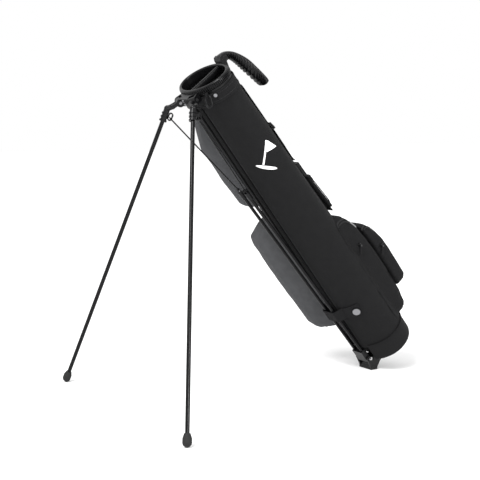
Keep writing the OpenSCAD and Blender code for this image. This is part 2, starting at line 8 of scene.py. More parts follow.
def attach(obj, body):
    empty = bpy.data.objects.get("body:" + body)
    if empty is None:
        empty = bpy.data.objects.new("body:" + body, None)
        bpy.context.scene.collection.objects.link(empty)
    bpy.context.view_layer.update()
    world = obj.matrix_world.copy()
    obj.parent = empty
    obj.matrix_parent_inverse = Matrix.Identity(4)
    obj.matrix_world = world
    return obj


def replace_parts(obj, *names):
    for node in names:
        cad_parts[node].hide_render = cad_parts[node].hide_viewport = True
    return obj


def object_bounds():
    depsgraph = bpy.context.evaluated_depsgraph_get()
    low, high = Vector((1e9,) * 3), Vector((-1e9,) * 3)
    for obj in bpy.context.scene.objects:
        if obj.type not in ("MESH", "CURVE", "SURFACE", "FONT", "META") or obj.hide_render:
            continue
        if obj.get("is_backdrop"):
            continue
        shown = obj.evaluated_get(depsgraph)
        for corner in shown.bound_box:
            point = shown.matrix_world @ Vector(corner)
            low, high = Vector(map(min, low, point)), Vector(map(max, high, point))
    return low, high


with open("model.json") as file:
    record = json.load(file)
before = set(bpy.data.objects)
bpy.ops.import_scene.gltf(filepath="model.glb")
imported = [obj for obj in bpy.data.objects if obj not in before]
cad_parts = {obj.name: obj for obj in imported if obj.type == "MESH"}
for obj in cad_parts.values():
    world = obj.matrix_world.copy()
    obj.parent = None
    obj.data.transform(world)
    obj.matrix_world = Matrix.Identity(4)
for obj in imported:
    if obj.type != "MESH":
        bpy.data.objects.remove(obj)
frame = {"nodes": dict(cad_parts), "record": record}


def writeSize(key, store={}):
    lo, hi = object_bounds()
    store[key] = [list(lo), list(hi)]


writeSize("before")

# the upright bag's frame, read from the record: x to its back, y across, z up its axis, all in mm
joints = {j["name"]: j for j in frame["record"]["behaviour"]["joints"]}
bagUp = Vector(joints["main_zip_slide"]["axis"]).normalized()
bagBack = Vector((bagUp.z, 0, -bagUp.x))
leverPlace = (-38, -7)  # the foot lever's hinge in that frame, x and z
leverAt = Vector(joints["foot_lever_turn"]["pos_m"])
bagOrigin = leverAt - (leverPlace[0] * bagBack + leverPlace[1] * bagUp) / 1000


def bagPoint(x, y, z):
    return bagOrigin + (bagBack * x + Vector((0, y, 0)) + bagUp * z) / 1000


# mouth and base are the tube's half depth and half width at its two ends
bag = {"height": 766, "bootTop": 50, "collar": 18, "mouth": (46, 70.5), "base": (63, 73), "baseBack": 7}
tubeTop = bag["height"] - bag["collar"]


def tubeAt(z):
    # half depth, half width and middle of the tube at a height
    u = (z - bag["bootTop"]) / (tubeTop - bag["bootTop"])
    halfD = bag["base"][0] + (bag["mouth"][0] - bag["base"][0]) * u
    halfW = bag["base"][1] + (bag["mouth"][1] - bag["base"][1]) * u
    return halfD, halfW, bag["baseBack"] * (1 - u)


def tubePoint(angle, z, out=0.0):
    halfD, halfW, mid = tubeAt(z)
    return mid + (halfD + out) * cos(angle), (halfW + out) * sin(angle)


# materials

def material(name, color, rough, metal=0.0, bump=0.0, scale=400.0, spread=0.0, shine=0.5):
    m = bpy.data.materials.new(name)
    m.use_nodes = True
    n, links = m.node_tree.nodes, m.node_tree.links
    p = n["Principled BSDF"]
    p.inputs["Base Color"].default_value = (*color, 1)
    p.inputs["Roughness"].default_value = rough
    p.inputs["Metallic"].default_value = metal
    p.inputs["Specular IOR Level"].default_value = shine
    if bump or spread:
        co = n.new("ShaderNodeTexCoord")
        tex = n.new("ShaderNodeTexNoise")
        tex.inputs["Scale"].default_value = scale
        tex.inputs["Detail"].default_value = 4
        links.new(co.outputs["Object"], tex.inputs["Vector"])
        if bump:
            b = n.new("ShaderNodeBump")
            b.inputs["Strength"].default_value = bump
            b.inputs["Distance"].default_value = 0.0004
            links.new(tex.outputs["Fac"], b.inputs["Height"])
            links.new(b.outputs["Normal"], p.inputs["Normal"])
        if spread:
            big = n.new("ShaderNodeTexNoise")
            big.inputs["Scale"].default_value = 14
            ramp = n.new("ShaderNodeMapRange")
            ramp.inputs["To Min"].default_value = rough - spread
            ramp.inputs["To Max"].default_value = rough + spread
            links.new(co.outputs["Object"], big.inputs["Vector"])
            links.new(big.outputs["Fac"], ramp.inputs["Value"])
            links.new(ramp.outputs["Result"], p.inputs["Roughness"])
    return m


def weave(name, color, pitch, strength, rough=0.85):
    # plain woven cloth: two crossed sets of fine threads, in the bag's own directions
    m = material(name, color, rough)
    n, links = m.node_tree.nodes, m.node_tree.links
    p = n["Principled BSDF"]
    p.inputs["Specular IOR Level"].default_value = 0.14
    uv = n.new("ShaderNodeUVMap")
    uv.uv_map = "cloth"
    waves = []
    for k, direction in enumerate(("X", "Y")):
        w = n.new("ShaderNodeTexWave")
        w.bands_direction = direction
        w.inputs["Scale"].default_value = 1 / pitch
        w.inputs["Distortion"].default_value = 0.6
        w.inputs["Detail"].default_value = 1
        links.new(uv.outputs["UV"], w.inputs["Vector"])
        waves.append(w)
    mix = n.new("ShaderNodeMath")
    mix.operation = "MAXIMUM"
    links.new(waves[0].outputs["Fac"], mix.inputs[0])
    links.new(waves[1].outputs["Fac"], mix.inputs[1])
    cloud = n.new("ShaderNodeTexNoise")
    cloud.inputs["Scale"].default_value = 60
    co = n.new("ShaderNodeTexCoord")
    links.new(co.outputs["Object"], cloud.inputs["Vector"])
    add = n.new("ShaderNodeMath")
    add.operation = "MULTIPLY_ADD"
    add.inputs[1].default_value = 1.5
    links.new(cloud.outputs["Fac"], add.inputs[0])
    links.new(mix.outputs["Value"], add.inputs[2])
    b = n.new("ShaderNodeBump")
    b.inputs["Strength"].default_value = strength
    b.inputs["Distance"].default_value = 0.0003
    links.new(add.outputs["Value"], b.inputs["Height"])
    links.new(b.outputs["Normal"], p.inputs["Normal"])
    ramp = n.new("ShaderNodeMixRGB")
    ramp.inputs["Color1"].default_value = (*(c * 0.8 for c in color), 1)
    ramp.inputs["Color2"].default_value = (*(c * 1.2 for c in color), 1)
    links.new(cloud.outputs["Fac"], ramp.inputs["Fac"])
    links.new(ramp.outputs["Color"], p.inputs["Base Color"])
    return m


mats = {
    "fabric": weave("blackNylon", (0.0062, 0.0062, 0.0066), 0.9, 0.5),
    # this cloth is the black nylon made ten times lighter: painted light for the far pockets, where the black
    # cloth looks grey in the light
    "fabric_grey": weave("paintedLightNylon", (0.062, 0.063, 0.066), 0.9, 0.5),
    "webbing": weave("webbing", (0.007, 0.007, 0.0075), 1.6, 0.8),
    "plastic": material("mouldedPlastic", (0.0036, 0.0036, 0.004), 0.3, bump=0.15, scale=900, spread=0.06,
                        shine=0.2),
    "rubber": material("rubber", (0.008, 0.008, 0.008), 0.7, bump=0.2, scale=700, shine=0.3),
    "tube": material("paintedTube", (0.002, 0.002, 0.0023), 0.2, spread=0.04, shine=0.16),
    "steel": material("platedSteel", (0.24, 0.24, 0.25), 0.32, metal=1.0, spread=0.06),
    "pull": material("greyPull", (0.2, 0.2, 0.205), 0.5, bump=0.1, scale=900),
    # this cloth is the black nylon made about four times darker: painted shade for the belly, which faces
    # away from the light; the seam piping, the boot seam and the zip coils use it too
    "belly": weave("bellyNylonPaintedShade", (0.0016, 0.0016, 0.0018), 0.9, 0.4),
    "lining": weave("lining", (0.012, 0.012, 0.0125), 1.0, 0.3),
    "boot": material("bootMoulding", (0.0052, 0.0052, 0.0056), 0.75, bump=0.3, scale=500, spread=0.08,
                     shine=0.14),
    "pullTab": material("darkPull", (0.006, 0.006, 0.0064), 0.7, bump=0.1, scale=900, shine=0.12),
    "gunmetal": material("gunmetal", (0.06, 0.06, 0.062), 0.4, metal=1.0, spread=0.05),
    "mark": material("whiteInk", (0.8, 0.8, 0.8), 0.7),
    "thread": material("thread", (0.018, 0.018, 0.019), 0.8),
    "zipTape": weave("zipTape", (0.016, 0.016, 0.0165), 0.8, 0.5),
}
slotOf = {s["node"]: s["material_slot"] for s in frame["record"]["subparts"]}
for name, obj in frame["nodes"].items():
    obj.data.materials.clear()
    obj.data.materials.append(mats[slotOf[name]])
    if not obj.data.uv_layers.get("cloth"):
        obj.data.uv_layers.new(name="cloth")
frame["nodes"]["base_boot"].data.materials[0] = mats["boot"]
for name in ("main", "outer", "side"):
    frame["nodes"][name + "_zip_pull"].data.materials[0] = mats["pullTab"]
    frame["nodes"][name + "_zip_slider"].data.materials[0] = mats["gunmetal"]
print("materials")


# mesh helpers


def finish(name, bm, mat, smooth=True, auto=40):
    # makes the piece from its mesh, with its material and slot, and hangs it on the bag
    bmesh.ops.recalc_face_normals(bm, faces=bm.faces)
    mesh = bpy.data.meshes.new(name)
    bm.to_mesh(mesh)
    bm.free()
    mesh.materials.append(mats[mat])
    obj = bpy.data.objects.new(name, mesh)
    bpy.context.scene.collection.objects.link(obj)
    if smooth:
        for poly in mesh.polygons:
            poly.use_smooth = True
        mesh.set_sharp_from_angle(angle=radians(auto))
    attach(obj, "bag")
    return obj


def addGrid(bm, rows, closed=False):
    # faces over rows of points, closed joining each row's ends; gives back the vertex rows
    uv = bm.loops.layers.uv.get("cloth") or bm.loops.layers.uv.new("cloth")
    verts = [[bm.verts.new(p) for p in row] for row in rows]
    lengths = [0.0]
    for a, b in zip(rows[0], rows[0][1:]):
        lengths.append(lengths[-1] + (Vector(b) - Vector(a)).length * 1000)
    for i in range(len(verts) - 1):
        count = len(verts[0]) if closed else len(verts[0]) - 1
        v0 = (Vector(rows[i][0]) - Vector(rows[0][0])).length * 1000
        v1 = (Vector(rows[i + 1][0]) - Vector(rows[0][0])).length * 1000
        for k in range(count):
            k2 = (k + 1) % len(verts[0])
            face = bm.faces.new((verts[i][k], verts[i][k2], verts[i + 1][k2], verts[i + 1][k]))
            u0 = lengths[k]
            u1 = lengths[k2] if k2 else lengths[-1] + 3
            for loop, val in zip(face.loops, ((u0, v0), (u1, v0), (u1, v1), (u0, v1))):
                loop[uv].uv = val
    return verts


def sheetSolid(bm, rows, thick):
    # a closed slab: the rows are its outer face, and thick (mm) goes inwards
    count, width = len(rows), len(rows[0])
    inner = []
    for i in range(count):
        line = []
        for k in range(width):
            du = Vector(rows[i][min(k + 1, width - 1)]) - Vector(rows[i][max(k - 1, 0)])
            dv = Vector(rows[min(i + 1, count - 1)][k]) - Vector(rows[max(i - 1, 0)][k])
            line.append(Vector(rows[i][k]) - du.cross(dv).normalized() * thick / 1000)
        inner.append(line)
    a = addGrid(bm, rows)
    b = addGrid(bm, inner)
    edgeA = a[0] + [r[-1] for r in a[1:]] + a[-1][-2::-1] + [r[0] for r in a[-2:0:-1]]
    edgeB = b[0] + [r[-1] for r in b[1:]] + b[-1][-2::-1] + [r[0] for r in b[-2:0:-1]]
    for k in range(len(edgeA)):
        j = (k + 1) % len(edgeA)
        bm.faces.new((edgeA[k], edgeA[j], edgeB[j], edgeB[k]))


def addLoft(bm, rings):
    # closed rings joined and capped at both ends
    verts = addGrid(bm, rings, closed=True)
    for ring in (verts[0], verts[-1]):
        centre = Vector((0, 0, 0))
        for v in ring:
            centre += v.co
        hub = bm.verts.new(centre / len(ring))
        for k in range(len(ring)):
            bm.faces.new((ring[k], ring[(k + 1) % len(ring)], hub))


def addHoop(bm, rows):
    # closed rows, the last joined to the first
    verts = addGrid(bm, rows, closed=True)
    for k in range(len(rows[0])):
        j = (k + 1) % len(rows[0])
        bm.faces.new((verts[0][k], verts[0][j], verts[-1][j], verts[-1][k]))


def addTube(bm, points, radius, sides=8, closed=False, flat=1.0, up=None):
    # a round or flattened cord along points (world metres); radius in mm
    pts = [Vector(p) for p in points]
    rings, last = [], None
    count = len(pts)
    for i, p in enumerate(pts):
        a = pts[(i - 1) % count] if closed else pts[max(i - 1, 0)]
        b = pts[(i + 1) % count] if closed else pts[min(i + 1, count - 1)]
        t = (b - a).normalized()
        if last is None:
            last = up or (Vector((0, 0, 1)) if abs(t.z) < 0.9 else Vector((1, 0, 0)))
        side = t.cross(last).normalized()
        last = side.cross(t).normalized()
        r = radius(i / (count - 1)) if callable(radius) else radius
        rings.append([p + (side * cos(2 * pi * k / sides) + last * sin(2 * pi * k / sides) * flat) * r / 1000
                      for k in range(sides)])
    if closed:
        verts = [[bm.verts.new(q) for q in ring] for ring in rings]
        for i in range(count):
            a, b = verts[i], verts[(i + 1) % count]
            for k in range(sides):
                j = (k + 1) % sides
                bm.faces.new((a[k], a[j], b[j], b[k]))
    else:
        addLoft(bm, rings)


def spline(points, n):
    # a smooth line through a few points, n steps between each two
    out = []
    for i in range(len(points) - 1):
        a, b = points[max(i - 1, 0)], points[i]
        c, d = points[i + 1], points[min(i + 2, len(points) - 1)]
        for k in range(n):
            t = k / n
            out.append(tuple(0.5 * (2 * q + (r - p) * t + (2 * p - 5 * q + 4 * r - s) * t * t
                                    + (3 * q - p - 3 * r + s) * t ** 3) for p, q, r, s in zip(a, b, c, d)))
    out.append(tuple(points[-1]))
    return out


def readTable(table, z):
    # the values at a height, between the rows of a table that starts each row with its height
    if z <= table[0][0]:
        return table[0][1:]
    for a, b in zip(table, table[1:]):
        if z <= b[0]:
            t = (z - a[0]) / (b[0] - a[0])
            return tuple(p + (q - p) * t for p, q in zip(a[1:], b[1:]))
    return table[-1][1:]


def squircle(value, power):
    # a signed power, for rounded corners
    return (1 if value > 0 else -1) * abs(value) ** power


def wave(x, y, z, scale, seed):
    # slow unevenness of cloth, between about -1 and 1
    return noise.noise(Vector((x / scale + seed, y / scale, z / scale + seed * 2)))


def stitches(bm, path, pitch, length, radius):
    # short thread lengths along a path of world points
    pts = [Vector(p) for p in path]
    total, marks = 0.0, []
    for a, b in zip(pts, pts[1:]):
        seg = (b - a).length * 1000
        while total <= seg and seg > 0:
            marks.append((a + (b - a) * (total / seg), (b - a).normalized()))
            total += pitch
        total -= seg
    for p, t in marks:
        side = t.orthogonal().normalized()
        other = t.cross(side)
        ring = [side * cos(a) + other * sin(a) for a in (0, pi / 2, pi, 3 * pi / 2)]
        ends = [p - t * length / 2000, p + t * length / 2000]
        r = [[bm.verts.new(e + q * radius / 1000) for q in ring] for e in ends]
        tips = [bm.verts.new(ends[0] - t * radius / 1000), bm.verts.new(ends[1] + t * radius / 1000)]
        for k in range(4):
            j = (k + 1) % 4
            bm.faces.new((r[0][k], r[0][j], r[1][j], r[1][k]))
            bm.faces.new((r[0][j], r[0][k], tips[0]))
            bm.faces.new((r[1][k], r[1][j], tips[1]))


def roundTube(z, out, up, angles):
    # points round the tube, as wide as it is at height z, moved outwards and up
    halfD, halfW, mid = tubeAt(z)
    return [bagPoint(mid + (halfD + out) * cos(a), (halfW + out) * sin(a), z + up) for a in angles]


def steps(z0, z1, n):
    # heights closer together at both ends
    return [z0 + (z1 - z0) * (0.5 - 0.5 * cos(pi * i / n)) for i in range(n + 1)]


def spread(z0, z1, n):
    # evenly spaced heights
    return [z0 + (z1 - z0) * i / n for i in range(n + 1)]


# the fabric tube: four sewn panels, with piping in the seams between them

panel = {"wall": 2.4, "rows": 110, "bellyHalf": 10, "spineHalf": 30, "seamGap": 0.6, "radius": 60}
panelSteps = {"side": 50, "belly": 14, "spine": 20}
cloth = {"radius": 65, "seamHold": 16, "endHold": 30, "endLeast": 0.15, "lowAt": 150, "lowReach": 120,
         "seamWidth": 5, "seamDeep": 0.9, "sink": 0.2}


def seamAngles(z):
    # where the spine's and the belly's seams are on one side of the tube
    halfD, halfW, mid = tubeAt(z)
    return asin(panel["spineHalf"] / halfW), pi - asin(panel["bellyHalf"] / halfW)


def puff(angle, z, a0, a1):
    # the cloth is drawn in at its seams and ends, and lies a little uneven between
    across = min(angle - a0, a1 - angle) * cloth["radius"]
    ends = min(z - bag["bootTop"], tubeTop - bag["collar"] - z)
    hold = min(1, max(across, 0) / cloth["seamHold"])
    hold *= min(1, max(ends, 0) / cloth["endHold"] + cloth["endLeast"])
    x, y = tubePoint(angle, z)
    soft = 1.1 * wave(x, y, z, 85, 3) + 0.5 * wave(x, y, z * 1.6, 34, 9)
    low = max(0, 1 - abs(z - cloth["lowAt"]) / cloth["lowReach"]) * 1.2 * wave(x, y, z * 2.4, 60, 21)
    seam = -cloth["seamDeep"] * (1 - min(1, max(across, 0) / cloth["seamWidth"]))
    return hold * (soft + low) + seam - cloth["sink"]


def tubePanel(name, part, side, mat="fabric"):
    count = panelSteps[part]
    rows = []
    for i in range(panel["rows"] + 1):
        z = bag["bootTop"] + 0.2 + (tubeTop - bag["bootTop"] - 0.4) * i / panel["rows"]
        spine, belly = seamAngles(z)
        ends = {"side": (spine, belly), "belly": (belly, 2 * pi - belly), "spine": (-spine, spine)}
        a0, a1 = ends[part]
        inset = panel["seamGap"] / panel["radius"] / 2
        a0, a1 = a0 + inset, a1 - inset
        line = []
        for k in range(count + 1):
            a = a0 + (a1 - a0) * k / count
            x, y = tubePoint(a, z, puff(a, z, a0, a1))
            line.append(bagPoint(x, side * y, z))
        rows.append(line)
    bm = bmesh.new()
    sheetSolid(bm, rows if side > 0 else [r[::-1] for r in rows], panel["wall"] - 0.4)
    return finish(name, bm, mat)


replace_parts(tubePanel("nearPanel", "side", -1), "near_panel")
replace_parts(tubePanel("farPanel", "side", 1), "far_panel")
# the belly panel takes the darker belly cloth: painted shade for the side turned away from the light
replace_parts(tubePanel("bellyPanel", "belly", 1, "belly"), "belly_panel")
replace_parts(tubePanel("spinePanel", "spine", 1), "spine_panel")

# piping in the four seams, thicker beside the belly
pipe = {"spine": 1.3, "belly": 2.2, "belowTop": 26}
bm = bmesh.new()
for side in (-1, 1):
    for which, radius in ((0, pipe["spine"]), (1, pipe["belly"])):
        line = []
        for i in range(90):
            z = bag["bootTop"] + 1 + (tubeTop - pipe["belowTop"] - bag["bootTop"]) * i / 89
            x, y = tubePoint(seamAngles(z)[which], z, 0.2)
            line.append(bagPoint(x, side * y, z))
        addTube(bm, line, radius, 8)
finish("tubePiping", bm, "belly")

# a row of stitches beside each seam
sewn = {"off": 6.0, "radius": 62, "above": 6, "belowTop": 34, "out": 0.15, "pitch": 5, "length": 3.4,
        "thread": 0.32}
bm = bmesh.new()
for side in (-1, 1):
    for which, off in ((0, sewn["off"]), (1, -sewn["off"])):
        line = []
        for i in range(140):
            z = bag["bootTop"] + sewn["above"] + (tubeTop - sewn["belowTop"] - bag["bootTop"]) * i / 139
            spine, belly = seamAngles(z)
            a = (spine, belly)[which] + off / sewn["radius"]
            x, y = tubePoint(a, z, puff(a, z, spine, belly) + sewn["out"])
            line.append(bagPoint(x, side * y, z))
        stitches(bm, line, sewn["pitch"], sewn["length"], sewn["thread"])
finish("tubeStitching", bm, "thread")
print("tube")

# a bound seam where the cloth meets the boot
seam = {"out": 0.3, "up": 1.2, "radius": 1.7, "reach": 152}
bm = bmesh.new()
angles = [radians(-seam["reach"] + 2 * seam["reach"] * k / 120) for k in range(121)]
addTube(bm, roundTube(bag["bootTop"], seam["out"], seam["up"], angles), seam["radius"], 8)
finish("bootSeam", bm, "belly")

# cuff under the collar, bound at its lower edge

cuff = {"height": 24, "steps": 128, "stitchRows": (5.6, 18.2), "stitchOut": 2.15, "pitch": 4.4, "length": 3.0,
        "thread": 0.3}
z0 = tubeTop - cuff["height"]
# out from the tube and up from the cuff's lower edge
profile = spline([(0.3, 0.2), (1.5, 0), (2.6, 1.2), (2.8, 3.0), (2.2, 4.6), (2.0, 5.2), (2.1, 12),
                  (2.0, 18.6), (2.5, 19.6), (2.7, 21.4), (2.3, 23.2), (1.4, 23.8), (0.3, 23.8)], 4)
angles = [2 * pi * k / cuff["steps"] for k in range(cuff["steps"])]
bm = bmesh.new()
addHoop(bm, [roundTube(z0, out, up, angles) for out, up in profile])
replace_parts(finish("cuffBand", bm, "fabric"), "cuff_band")
bm = bmesh.new()
angles = [2 * pi * k / 200 for k in range(201)]
for up in cuff["stitchRows"]:
    stitches(bm, roundTube(z0, cuff["stitchOut"], up, angles), cuff["pitch"], cuff["length"], cuff["thread"])
finish("cuffStitching", bm, "thread")

# moulded collar: a rounded lip over a finely ribbed band

collar = {"ribs": 84, "ribDeep": 1.9, "ribFrom": 5, "ribTo": 15.4}
# out from the mouth's edge and up from the tube's top
profile = spline([(-5.2, 0.4), (-0.6, 0.2), (-0.1, 0.8), (-0.2, 2.6), (0.2, 4.4), (1.5, 6.4), (2.3, 9.0),
                  (2.4, 12.0), (1.6, 15.0), (0.0, 17.2), (-2.4, 18), (-4.4, 17.4), (-5.4, 15.6), (-5.5, 9),
                  (-5.5, 3)], 3)
around = collar["ribs"] * 4
rows = []
for out, up in profile:
    line = []
    ribbed = out > 0.4 and collar["ribFrom"] < up < collar["ribTo"]
    for k in range(around):
        rib = collar["ribDeep"] if ribbed and k % 4 < 2 else 0
        a = 2 * pi * k / around
        x, y = (bag["mouth"][0] + out - rib) * cos(a), (bag["mouth"][1] + out - rib) * sin(a)
        line.append(bagPoint(x, y, tubeTop + up))
    rows.append(line)
bm = bmesh.new()
addHoop(bm, rows)
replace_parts(finish("collarRing", bm, "plastic", auto=50), "collar")

# a padded sleeve on the divider bar
bar = {"reach": 39.9, "half": 3.9, "deep": 7.9, "middle": 11, "sag": 0.6}
bm = bmesh.new()
rings = []
for i in range(41):
    x = -bar["reach"] + 2 * bar["reach"] * i / 40
    sag = bar["sag"] * cos(x / 40 * pi / 2)
    ring = []
    for k in range(20):
        a = 2 * pi * k / 20
        z = bag["height"] - bar["middle"] + (bar["deep"] - sag) * squircle(sin(a), 0.6)
        ring.append(bagPoint(x, bar["half"] * squircle(cos(a), 0.6), z))
    rings.append(ring)
addLoft(bm, rings)
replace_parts(finish("dividerBar", bm, "plastic"), "divider_bar")
print("mouth")


# pockets: each is a soft bag on the tube

pocketSteps = 96  # columns round each pocket, the first at the back and the 72nd on the near side
tubeGap = 0.4


def pocketRing(x0, x1, y0, y1, z, power, seed, slack):
    # a rounded rectangle at height z, kept outside the tube
    halfD, halfW, mid = tubeAt(z)
    ring = []
    for k in range(pocketSteps):
        a = 2 * pi * k / pocketSteps
        c, s = cos(a), sin(a)
        x = (x0 + x1) / 2 + (x1 - x0) / 2 * squircle(c, 2 / power)
        y = (y0 + y1) / 2 + (y1 - y0) / 2 * squircle(s, 2 / power)
        push = slack * (1.3 * wave(x, y, z, 46, seed) + 0.7 * wave(x, y, z, 20, seed + 5))
        x, y = x + push * c, y + push * s
        value = sqrt(((x - mid) / (halfD + tubeGap)) ** 2 + (y / (halfW + tubeGap)) ** 2)
        if value < 1:
            x, y = mid + (x - mid) / value, y / value
        ring.append((x, y, z))
    return ring


def pocket(name, node, table, count, mat, power, seed, slack=1.0, shape=None):
    # rows of a table hold the height, the lowest and highest x, and the lowest and highest y
    rings = []
    for z in steps(table[0][0], table[-1][0], count):
        ring = pocketRing(*readTable(table, z), z, power, seed, slack)
        if shape:
            ring = [shape(p) for p in ring]
        rings.append([bagPoint(*p) for p in ring])
    bm = bmesh.new()
    addLoft(bm, rings)
    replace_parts(finish(name, bm, mat, auto=60), node)
    return rings


ballTable = [(56, 30, 70, -47, 47), (60, 26, 79, -52, 52), (70, 22, 85, -54.5, 54.5),
             (100, 20, 89, -55.6, 55.6), (160, 20, 91, -55.6, 55.6), (210, 20, 91, -55.6, 55.6),
             (262, 20, 88, -55.6, 55.6), (300, 20, 82, -54.5, 54.5), (325, 22, 74, -52, 52),
             (340, 26, 65, -48, 48), (346, 30, 60, -44, 44)]
ballRings = pocket("ballPocket", "ball_pocket", ballTable, 70, "fabric", 5.0, 11)
outerTable = [(108, 92.4, 112, -44, 44), (111, 92.4, 120, -48, 48), (118, 92.4, 124, -50, 50),
              (150, 92.4, 124.5, -50.6, 50.6), (225, 92.4, 123.5, -50.4, 50.4), (250, 91.5, 117, -50, 50),
              (269, 90, 110, -49, 49), (284, 88, 102, -47, 47), (290, 87, 95, -44, 44)]
outerRings = pocket("outerPocket", "outer_pocket", outerTable, 48, "fabric", 5.0, 31)


def slant(x0, y0, x1, y1):
    # keeps a pocket's front face behind the line the folded far leg needs
    def move(p):
        u = max(0, min(1, (p[1] - y0) / (y1 - y0)))
        return (max(p[0], x0 + (x1 - x0) * u), p[1], p[2])
    return move


sideTable = [(84, -26, 34, 44, 90), (90, -46, 34, 40, 112), (100, -68, 33, 38, 123),
             (120, -75, 32, 38, 127.4), (240, -76, 31, 38, 127.4), (360, -76, 30, 38, 127),
             (380, -72, 30, 38, 122), (396, -52, 32, 38, 104), (408, -26, 33, 44, 90)]
# the far side pocket and the top pocket take the lighter nylon: painted light on black cloth
sideRings = pocket("sidePocket", "side_pocket", sideTable, 70, "fabric_grey", 4.0, 51, slack=1.2,
                   shape=slant(-26, 36, -78, 84))
topTable = [(450, -38, 14, 50, 76), (458, -48, 14, 50, 88), (470, -54, 12, 49, 97), (540, -56, 11, 49, 98),
            (620, -56, 10, 49, 96), (645, -50, 12, 49, 88), (680, -42, 13, 49, 77), (694, -38, 14, 50, 73)]
topRings = pocket("topPocket", "top_pocket", topTable, 46, "fabric_grey", 4.0, 71,
                  shape=slant(-38, 50, -58, 72))


def ringPath(rings, places, lift):
    # a path over the rings at the given (row, column) places, lifted off the pocket
    path = []
    for i, k in places:
        ring = rings[i]
        along = ring[(k + 1) % pocketSteps] - ring[(k - 1) % pocketSteps]
        path.append(ring[k % pocketSteps] + along.cross(bagUp).normalized() * lift / 1000)
    return path


def frameLoop(i0, i1, k0, k1):
    # the (row, column) places round a rectangular panel of a pocket
    left = [(i, k0) for i in range(i0, i1)]
    top = [(i1, k) for k in range(k0, k1, 1 if k1 > k0 else -1)]
    right = [(i, k1) for i in range(i1, i0, -1)]
    low = [(i0, k) for k in range(k1, k0, -1 if k1 > k0 else 1)]
    return left + top + right + low


def piping(name, mat, loops, lift, radius):
    bm = bmesh.new()
    for rings, *corners in loops:
        addTube(bm, ringPath(rings, frameLoop(*corners), lift), radius, 8, closed=True)
    finish(name, bm, mat)


# piping round the pockets' outer faces
piping("pocketPiping", "fabric", ((ballRings, 6, 62, -13, 13), (outerRings, 4, 43, -13, 13)), 0.4, 1.5)
# the far pockets' piping takes the lighter nylon too: painted light on black cloth
piping("paintedLightPocketPiping", "fabric_grey", ((sideRings, 6, 62, 12, 36), (topRings, 4, 38, 12, 36)), 0.3, 1.4)

# zips: a bare one on the side pocket, and covered ones on the ball pocket and the outer pocket
zipper = {"width": 9.0, "pitch": 2.4, "tooth": (2.6, 1.5, 1.1), "up": 0.9, "aside": 0.7}
overZip = {"width": 9.5, "lift": 1.5, "thick": 1.6, "crown": 1.0, "coil": 0.9, "coilUp": 1.6}
tag = {"width": 6.5, "lift": 2.9, "thick": 1.4, "crown": 0.8, "length": 16}


def zipLine(name, pts, lift):
    # a straight zip: a tape with a toothed line along its middle
    bm = bmesh.new()
    addTube(bm, pts, zipper["width"] / 2, 12, flat=0.14, up=lift)
    finish(name + "Tape", bm, "zipTape")
    bm = bmesh.new()
    total, k = 0.0, 0
    for a, b in zip(pts, pts[1:]):
        seg = (b - a).length * 1000
        t = (b - a).normalized()
        n = (lift - t * lift.dot(t)).normalized()
        side = t.cross(n)
        turn = Matrix(((side.x, t.x, n.x, 0), (side.y, t.y, n.y, 0), (side.z, t.z, n.z, 0), (0, 0, 0, 1)))
        while total < seg:
            aside = zipper["aside"] if k % 2 else -zipper["aside"]
            p = a + t * total / 1000 + n * zipper["up"] / 1000 + side * aside / 1000
            place = Matrix.Translation(p) @ turn @ Matrix.Diagonal((*zipper["tooth"], 1))
            bmesh.ops.create_cube(bm, size=0.001, matrix=place)
            total += zipper["pitch"]
            k += 1
        total -= seg
    finish(name + "Teeth", bm, "plastic", smooth=False)


def heightOf(p):
    return (p - bagOrigin).dot(bagUp) * 1000


def onRing(ring, k):
    # a point on a pocket's ring, between two of its columns
    low = int(k)
    return ring[low % pocketSteps].lerp(ring[(low + 1) % pocketSteps], k - low)


def overPocket(rings, places, n=8):
    # points and outward normals on a pocket through (height, column) places
    heights = [heightOf(ring[0]) for ring in rings]
    points, normals = [], []
    for z, k in spline(places, n):
        i = min(range(len(rings)), key=lambda j: abs(heights[j] - z))
        i = max(1, min(len(rings) - 2, i if heights[i] <= z else i - 1))
        t = max(0, min(1, (z - heights[i]) / max(1e-6, heights[i + 1] - heights[i])))
        points.append(onRing(rings[i], k).lerp(onRing(rings[i + 1], k), t))
        across = onRing(rings[i], k + 2) - onRing(rings[i], k - 2)
        normals.append(across.cross(onRing(rings[i + 1], k) - onRing(rings[i - 1], k)).normalized())
    return points, normals


def band(name, points, normals, mat, width, lift, thick, crown):
    # a flat strip lying along a line of points, its edges lower than its middle by the crown
    rows = []
    for i, p in enumerate(points):
        t = (points[min(i + 1, len(points) - 1)] - points[max(i - 1, 0)]).normalized()
        side = t.cross(normals[i]).normalized()
        rows.append([p + side * width * c / 2000 + normals[i] * (lift - crown * c * c) / 1000
                     for c in (-1, -0.66, -0.33, 0, 0.33, 0.66, 1)])
    bm = bmesh.new()
    sheetSolid(bm, rows, thick)
    finish(name, bm, mat)


def zipOver(name, rings, heights, tagHeight):
    # a covered zip through heights on a pocket, with a short grey tag laid along it
    points, normals = overPocket(rings, list(zip(heights, zipColumns)))
    band(name + "Tape", points, normals, "zipTape", overZip["width"], overZip["lift"], overZip["thick"],
         overZip["crown"])
    bm = bmesh.new()
    addTube(bm, [p + n * overZip["coilUp"] / 1000 for p, n in zip(points, normals)], overZip["coil"], 6)
    finish(name + "Teeth", bm, "belly")
    first = min(range(len(points)), key=lambda j: abs(heightOf(points[j]) - tagHeight) + j * 0.01)
    last, end = first, len(points) - 1
    while (points[first] - points[last]).length * 1000 < tag["length"] and first > 0 and last < end:
        first -= 1
        last += 1
    band(name + "Tab0", points[first:last + 1], normals[first:last + 1], "pull", tag["width"], tag["lift"],
         tag["thick"], tag["crown"])


